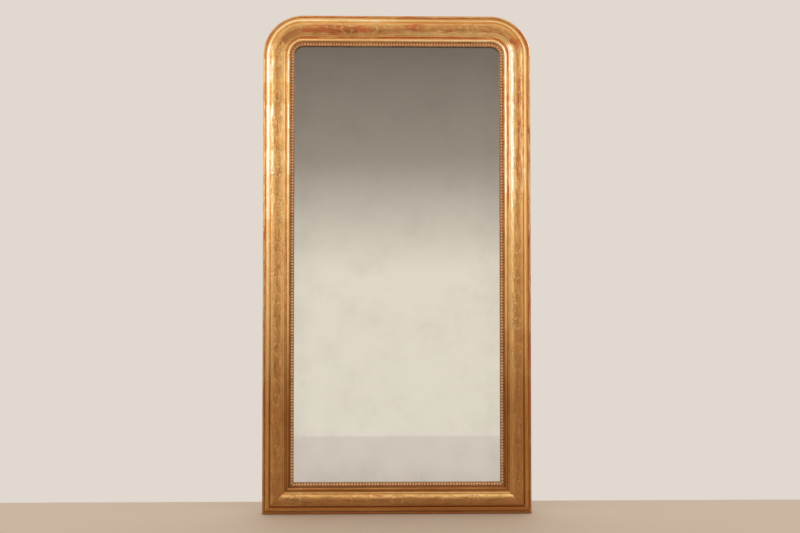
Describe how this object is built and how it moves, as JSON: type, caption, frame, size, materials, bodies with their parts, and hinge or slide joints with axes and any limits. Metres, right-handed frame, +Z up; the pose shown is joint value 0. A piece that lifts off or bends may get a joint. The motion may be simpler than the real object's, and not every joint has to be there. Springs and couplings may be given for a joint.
{
  "type": "overmantel mirror",
  "caption": "Tall wall mirror in a gilded run-moulded frame with rounded top corners, mitred bottom corners, a pearl course at the sight edge, a panelled back and swinging hanging rings.",
  "frame": {"origin": "middle of the lower edge of the base frame's back face, on the wall plane", "axes": "+X to the right as seen from the front, +Y out of the back towards the wall, +Z up; the glass faces -Y"},
  "size_m": [0.915, 0.061, 1.7],
  "materials": {
    "gilding": "worn water gilding over red bole, burnished on the crests",
    "gilded_pearls": "rubbed gilding with red bole showing",
    "base_wood": "aged planed pine, outer edges washed with yellow ochre",
    "back_wood": "aged planed pine",
    "packing_wood": "sawn softwood",
    "peg_wood": "riven oak pegs",
    "silvered_glass": "old silvered plate, slightly wavy, faint mottling",
    "screw_steel": "dull old steel",
    "hanger_iron": "dark wrought iron with light rust"
  },
  "bodies": {
    "mirror": {"back_panel_lower": "back_wood", "back_panel_middle": "back_wood", "back_panel_upper": "back_wood", "back_rail_bottom": "back_wood", "back_rail_lower": "back_wood", "back_rail_top": "back_wood", "back_rail_upper": "back_wood", "back_stile_left": "back_wood", "back_stile_right": "back_wood", "base_rail_bottom": "base_wood", "base_rail_top": "base_wood", "base_stile_left": "base_wood", "base_stile_right": "base_wood", "bead_strip_bottom": "gilded_pearls", "bead_strip_corner_left": "gilded_pearls", "bead_strip_corner_right": "gilded_pearls", "bead_strip_left": "gilded_pearls", "bead_strip_right": "gilded_pearls", "bead_strip_top": "gilded_pearls", "cleat_screws": "screw_steel", "glass_wedges": "packing_wood", "hanger_plate_left": "hanger_iron", "hanger_plate_right": "hanger_iron", "hanger_screws": "screw_steel", "lap_pegs": "peg_wood", "mirror_glass": "silvered_glass", "moulding_bottom": "gilding", "moulding_corner_left": "gilding", "moulding_corner_right": "gilding", "moulding_left": "gilding", "moulding_right": "gilding", "moulding_screws": "screw_steel", "moulding_top": "gilding", "retaining_cleats": "packing_wood", "setting_blocks": "packing_wood", "tenon_pegs": "peg_wood"},
    "left_ring": {"hanger_ring_left": "hanger_iron"},
    "right_ring": {"hanger_ring_right": "hanger_iron"}
  },
  "joints": [
    {"name": "left_ring_swing", "type": "hinge", "parent": "mirror", "child": "left_ring", "pos_m": [-0.4115, -0.0058, 1.28], "axis": [1, 0, 0], "range_deg": [0, 180]},
    {"name": "right_ring_swing", "type": "hinge", "parent": "mirror", "child": "right_ring", "pos_m": [0.4115, -0.0058, 1.28], "axis": [1, 0, 0], "range_deg": [0, 180]}
  ]
}
